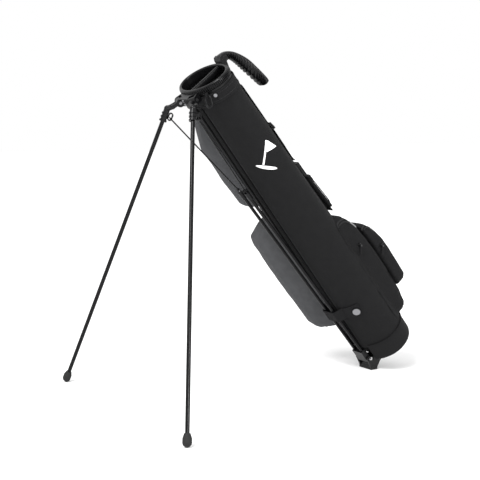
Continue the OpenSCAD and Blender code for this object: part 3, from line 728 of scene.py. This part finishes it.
zipColumns = (68, 73, 78, 82, 84, 84.5, 84.5, 84.5)
zipOver("mainZip", ballRings, (330, 334, 330, 318, 300, 270, 220, 160), 307)
zipOver("outerZip", outerRings, (276, 280, 276, 266, 250, 225, 190, 140), 258)
zipLine("sideZip", [bagPoint(-20, 128.0, z) for z in spread(118, 362, 30)], Vector((0, 1, 0)))
print("pockets")

# shoulder strap along the back

strap = {"web": 30, "webThick": 2.2, "pad": 46, "padThick": 10, "padOff": 3.6, "endWidth": 0.86,
         "endThick": 0.45}
# height and how far back the strap lies
strapLine = [(320, 76), (352, 74), (398, 69.5), (435, 66), (456, 69), (489, 68), (505, 62), (589, 60.5),
             (604, 57.5), (700, 56), (712, 54)]


def strapBody(name, node, zs, width, thick, off, mat, bulge=0.0, crown=0.0, soft=False):
    rings = []
    for i, z in enumerate(zs):
        u = i / (len(zs) - 1)
        x = max(tubePoint(0, z)[0] + off, readTable(strapLine, z)[0] - thick / 2 + bulge * sin(pi * u))
        edge = min(1.0, min(u, 1 - u) * len(zs) / 3)
        w, t = width / 2, thick / 2
        if soft:
            w *= strap["endWidth"] + (1 - strap["endWidth"]) * sqrt(edge)
            t *= strap["endThick"] + (1 - strap["endThick"]) * sqrt(edge)
        ring = []
        for k in range(28):
            a = 2 * pi * k / 28
            y = w * squircle(cos(a), 0.45)
            depth = t * squircle(sin(a), 0.7) * (1 + crown * (1 - (y / w) ** 2))
            ring.append(bagPoint(x + thick / 2 + depth, y, z))
        rings.append(ring)
    bm = bmesh.new()
    addLoft(bm, rings)
    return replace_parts(finish(name, bm, mat), node)


strapBody("upperWebbing", "upper_webbing", spread(498, 704, 40), strap["web"], strap["webThick"], 4.3,
          "webbing", bulge=1.0)

# a flat buckle on the upper webbing
buckle = {"low": 588, "high": 600, "half": 19, "out": 1.8, "bar": 2.6, "sideFrom": 586, "sideRun": 16,
          "sideHalf": 18.5, "side": 2.4}
bm = bmesh.new()
for z in (buckle["low"], buckle["high"]):
    x = readTable(strapLine, z)[0] + buckle["out"]
    addTube(bm, [bagPoint(x, y, z) for y in spread(-buckle["half"], buckle["half"], 12)], buckle["bar"], 10)
for y in (-buckle["sideHalf"], buckle["sideHalf"]):
    heights = spread(buckle["sideFrom"], buckle["sideFrom"] + buckle["sideRun"], 6)
    line = [bagPoint(readTable(strapLine, z)[0] + buckle["out"], y, z) for z in heights]
    addTube(bm, line, buckle["side"], 10)
finish("strapSlider", bm, "plastic")
strapBody("lowerWebbing", "lower_webbing", spread(347.2, 356.8, 10), strap["web"], strap["webThick"], 4.5,
          "webbing")
pad = strapBody("shoulderPad", "shoulder_pad", steps(360.2, 451.8, 30), strap["pad"], strap["padThick"],
                strap["padOff"], "fabric", crown=0.18, soft=True)

# a sewn line round the pad's face
sewnLine = {"z": 406, "halfLong": 41, "halfWide": 19, "up": 10.9, "radius": 0.9, "corner": 0.35}
line = []
for k in range(80):
    a = 2 * pi * k / 80
    z = sewnLine["z"] + sewnLine["halfLong"] * squircle(sin(a), sewnLine["corner"])
    under = max(tubePoint(0, z)[0] + strap["padOff"], readTable(strapLine, z)[0] - strap["padThick"] / 2)
    y = sewnLine["halfWide"] * squircle(cos(a), sewnLine["corner"])
    line.append(bagPoint(under + sewnLine["up"], y, z))
bm = bmesh.new()
addTube(bm, line, sewnLine["radius"], 6, closed=True)
finish("padSeam", bm, "fabric")
print("strap")

# guide strap: webbing round the rods, sewn at both ends

guide = {"z": 155, "height": 28, "thick": 1.6, "nearBack": 122, "front": 157, "farEnd": 148, "rodSide": 12,
         "rodFront": -67.6, "corner": 6.5, "gap": 1.5, "hem": 0.25}
halfD, halfW, mid = tubeAt(guide["z"] - guide["height"] / 2)


def wrap(angle, side):
    # a place on the tube, at an angle from its back
    a = radians(angle)
    return mid + (halfD + guide["gap"]) * cos(a), side * (halfW + guide["gap"]) * sin(a)


corner = guide["rodSide"] + guide["corner"]
line = [wrap(guide["nearBack"] + (guide["front"] - guide["nearBack"]) * k / 8, -1) for k in range(9)]
line += [(guide["rodFront"] + 1, -corner), (guide["rodFront"], -guide["rodSide"]), (guide["rodFront"], 0),
         (guide["rodFront"], guide["rodSide"]), (guide["rodFront"] + 1, corner)]
line += [wrap(guide["front"] + (guide["farEnd"] - guide["front"]) * k / 2, 1) for k in range(3)]
line = spline(line, 3)
rows = []
for i in range(15):
    z = guide["z"] + guide["height"] * (i / 14 - 0.5)
    out = guide["thick"] / 2 + (guide["hem"] if i in (0, 1, 13, 14) else 0)
    row = []
    for k, (x, y) in enumerate(line):
        after, before = line[min(k + 1, len(line) - 1)], line[max(k - 1, 0)]
        vx, vy = after[0] - before[0], after[1] - before[1]
        n = sqrt(vx * vx + vy * vy)
        row.append(bagPoint(x - vy / n * out, y + vx / n * out, z))
    rows.append(row[::-1])
bm = bmesh.new()
sheetSolid(bm, rows, guide["thick"])
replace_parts(finish("guideStrap", bm, "webbing"), "guide_strap")

# the towel ring's tab: a loop of webbing over the ring's top bar
tab = {"x": -34, "z": tubeTop, "width": 5, "out": 6.8, "loop": 3.2, "thick": 0.9}
halfD, halfW, mid = tubeAt(tab["z"])
wallY = halfW * sqrt(1 - ((tab["x"] - mid) / halfD) ** 2)
slope = atan2((tab["x"] - mid) / halfD ** 2, wallY / halfW ** 2)
profile = [(4.3, 4.6), (3.4, 4.6), (1.4, 4.4)]
for k in range(21):
    a = radians(10 - 330 * k / 20)
    profile.append((tab["loop"] * sin(a), tab["loop"] * cos(a)))
rows = []
for py, pz in profile:
    row = []
    for k in range(5):
        along, away = tab["width"] * (k / 4 - 0.5), py - tab["out"]
        x = tab["x"] + along * cos(slope) - away * sin(slope)
        y = -wallY + along * sin(slope) + away * cos(slope)
        row.append(bagPoint(x, y, tab["z"] + pz))
    rows.append(row)
bm = bmesh.new()
sheetSolid(bm, rows, tab["thick"])
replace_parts(finish("ringTab", bm, "webbing"), "ring_tab")

# the divider between the two club compartments hangs a little slack from its bar
divider = {"half": 39.8, "low": 49, "belowTop": 19.6, "thick": 1.4, "slack": 2.4}
rows = []
for i in range(61):
    z = divider["low"] + (bag["height"] - divider["belowTop"] - divider["low"]) * i / 60
    hang = divider["slack"] * sin(pi * i / 60)
    row = []
    for k in range(25):
        x = -divider["half"] + 2 * divider["half"] * k / 24
        row.append(bagPoint(x, hang * wave(k * 3.3, 0, z, 60, 41) - 0.75, z))
    rows.append(row)
bm = bmesh.new()
sheetSolid(bm, rows, divider["thick"])
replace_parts(finish("dividerPanel", bm, "lining"), "divider_panel")

# carry handle: a grip with cross ribs

grip = {"width": 24, "ribFrom": 0.30, "ribTo": 0.97, "ribs": 22, "ribDeep": 2.8, "ribScale": 9,
        "tipFrom": 0.94, "tipLoss": 0.55}
rootX, rootZ = bag["mouth"][0] + 1.1, bag["height"] - 1
# the grip's outer and inner edge, from its root: outwards and up
outerLine = spline([(2, 0.5), (3, 11), (14, 12), (28, 8), (43, -6), (58, -32), (66, -60), (72, -90),
                    (71, -99)], 8)
innerLine = spline([(7.5, -4), (8, -9), (14, -7), (24, -9), (31, -22), (38, -50), (50, -92), (54, -98),
                    (58, -101)], 8)
count = len(outerLine)
half = grip["width"] / 2
rings = []
for i in range(count * 4 - 3):
    f = i / 4
    j = min(int(f), count - 2)
    t = f - j
    u = f / (count - 1)
    o = [outerLine[j][c] + (outerLine[j + 1][c] - outerLine[j][c]) * t for c in (0, 1)]
    n = [innerLine[j][c] + (innerLine[j + 1][c] - innerLine[j][c]) * t for c in (0, 1)]
    tip = 1 - max(0, (u - grip["tipFrom"]) / (1 - grip["tipFrom"])) ** 2 * grip["tipLoss"]
    phase = (u - grip["ribFrom"]) / (grip["ribTo"] - grip["ribFrom"])
    dip = 0
    if 0 < phase < 1:
        dip = grip["ribDeep"] / grip["ribScale"] * (0.5 - 0.5 * cos(2 * pi * phase * grip["ribs"]))
    ring = []
    for k in range(32):
        a = 2 * pi * k / 32
        c, s = cos(a), sin(a)
        y = half * tip * squircle(s, 0.7) * (1 - dip * max(0, min(1, 0.75 - c)))
        r = squircle(c, 0.75) * tip * (1 - dip * max(0, -c) ** 0.5)
        x, z = ((o[m] + n[m]) / 2 + (o[m] - n[m]) / 2 * r for m in (0, 1))
        ring.append(bagPoint(rootX + x, y, rootZ + z))
    rings.append(ring)
bm = bmesh.new()
addLoft(bm, rings)
block = [(0, -14), (0, 5), (3, 10.5), (9, 11.5), (12, -4), (9, -16)]
faces = []
for side in (-1, 1):
    faces.append([bm.verts.new(bagPoint(rootX + x, side * (half - 0.2), rootZ + z)) for x, z in block])
bm.faces.new(faces[0])
bm.faces.new(faces[1][::-1])
for k in range(len(block)):
    j = (k + 1) % len(block)
    bm.faces.new((faces[0][k], faces[0][j], faces[1][j], faces[1][k]))
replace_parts(finish("carryHandle", bm, "plastic", auto=55), "carry_handle")
print("handle")

# printed mark on the near panel: a plain flag on a pin, over one lens-shaped ground line

mark = {"z": 576, "x": -10}


def onNear(u, z, lift=0.35):
    # u is measured round the cloth from the mark's own place, towards the bag's back
    halfD, halfW, mid = tubeAt(z)
    a = pi / 2 + asin(max(-1, min(1, (mid - mark["x"]) / halfD)))
    for _ in range(6):
        a -= u / 6 / sqrt((halfD * sin(a)) ** 2 + (halfW * cos(a)) ** 2)
    spine, belly = seamAngles(z)
    x, y = tubePoint(a, z, puff(a, z, spine, belly) + lift)
    return bagPoint(x, -y, z)


def ink(bm, outline, n=14):
    # a flat shape, upright when the bag stands; outline gives its two edges at a fraction of its run
    rows = []
    for i in range(n + 1):
        (ua, va), (ub, vb) = outline(i / n)
        row = []
        for k in range(9):
            u, v = ua + (ub - ua) * k / 8, va + (vb - va) * k / 8
            row.append(onNear(u * bagBack.x + v * bagBack.z, mark["z"] - u * bagBack.z + v * bagBack.x))
        rows.append(row)
    sheetSolid(bm, rows, 0.25)


bm = bmesh.new()
ink(bm, lambda u: ((-9, -22 + 52 * u), (-5.4, -22 + 52 * u)))
ink(bm, lambda u: ((-4.6, 30 - 24 * u), (-4.4 + 25 * (1 - abs(2 * u - 1)), 30 - 24 * u)))
ink(bm, lambda u: ((-22 + 44 * u, -27 - 3.4 * sqrt(max(0, 1 - (2 * u - 1) ** 2)) - 0.3),
                   (-22 + 44 * u, -27 + 3.4 * sqrt(max(0, 1 - (2 * u - 1) ** 2)) + 0.3)))
finish("flagMark", bm, "mark")

# stage, light and camera

floorMat = material("floor", (0.86, 0.86, 0.86), 0.95, shine=0.0)
bpy.ops.mesh.primitive_plane_add(size=30, location=(0, 0, -0.0005))
floor = bpy.context.object
floor.name = "floor"
floor.data.materials.append(floorMat)
floor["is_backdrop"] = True

world = bpy.data.worlds.new("studio")
bpy.context.scene.world = world
world.use_nodes = True
world.node_tree.nodes["Background"].inputs["Color"].default_value = (1, 1, 1, 1)
world.node_tree.nodes["Background"].inputs["Strength"].default_value = 1.0


def areaLight(name, place, target, size, power):
    data = bpy.data.lights.new(name, "AREA")
    data.size = size
    data.energy = power
    obj = bpy.data.objects.new(name, data)
    obj.location = place
    obj.rotation_euler = (Vector(target) - Vector(place)).to_track_quat("-Z", "Y").to_euler()
    bpy.context.scene.collection.objects.link(obj)


areaLight("key", (-2.2, -1.2, 2.4), (0, 0, 0.3), 1.2, 30)
areaLight("front", (-0.2, -3.0, 1.5), (-0.2, 0, 0.35), 0.7, 60)
sunny = {"power": 2.2, "angle": 24, "aim": (1.0, 0.35, -1.25)}
sun = bpy.data.lights.new("sun", "SUN")
sun.energy = sunny["power"]
sun.angle = radians(sunny["angle"])
sunAt = bpy.data.objects.new("sun", sun)
sunAt.rotation_euler = Vector(sunny["aim"]).to_track_quat("-Z", "Y").to_euler()
bpy.context.scene.collection.objects.link(sunAt)

view = {"place": (-1.19547, -1.7255, 0.56697), "down": 7.1615, "turn": -32.988, "lens": 74.94, "sensor": 36,
        "shift": (-0.0008, 0.0105), "reach": 60}
camera = bpy.data.objects.new("camera", bpy.data.cameras.new("camera"))
bpy.context.scene.collection.objects.link(camera)
camera.location = view["place"]
camera.rotation_euler = (radians(90 - view["down"]), 0, radians(view["turn"]))
camera.data.lens = view["lens"]
camera.data.sensor_width = view["sensor"]
camera.data.shift_x, camera.data.shift_y = view["shift"]
camera.data.clip_end = view["reach"]
bpy.context.scene.camera = camera
bpy.context.scene.view_settings.view_transform = "Standard"
print("stage")

writeSize("after")
